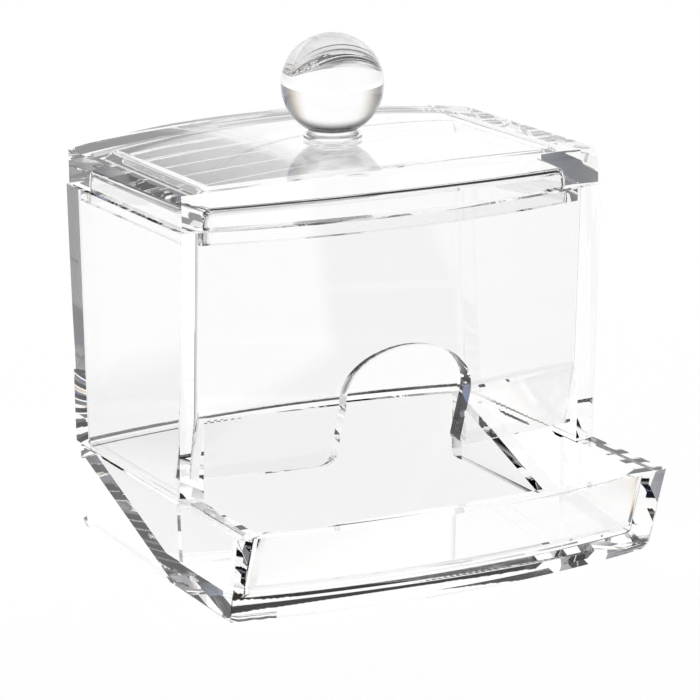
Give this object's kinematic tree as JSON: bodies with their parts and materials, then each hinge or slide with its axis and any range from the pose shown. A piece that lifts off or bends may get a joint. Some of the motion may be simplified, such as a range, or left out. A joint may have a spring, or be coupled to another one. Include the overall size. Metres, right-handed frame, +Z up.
{
  "type": "cotton swab dispenser box",
  "caption": "Clear lidded box for cotton swabs: they roll down a ramp to an open front tray below a finger arch; the lift-off lid has a ball knob.",
  "frame": {"origin": "centre of the bounding box's bottom face, on the table", "axes": "+Z up, tray and finger arch facing -Y, width along X, and +X on the right as seen from the front"},
  "size_m": [0.0916, 0.0869, 0.0986],
  "materials": {
    "base_acrylic": "polished clear moulded plastic",
    "tube_acrylic": "polished clear moulded plastic",
    "lid_acrylic": "polished clear moulded plastic",
    "knob_acrylic": "polished clear moulded plastic"
  },
  "bodies": {
    "box": {"base_tray": "base_acrylic", "upper_box": "tube_acrylic"},
    "lid_body": {"lid": "lid_acrylic", "knob": "knob_acrylic"}
  },
  "joints": [
    {"name": "lid_lift", "type": "slide", "parent": "box", "child": "lid_body", "axis": [0, 0, 1], "range_m": [0, 0.04]}
  ]
}
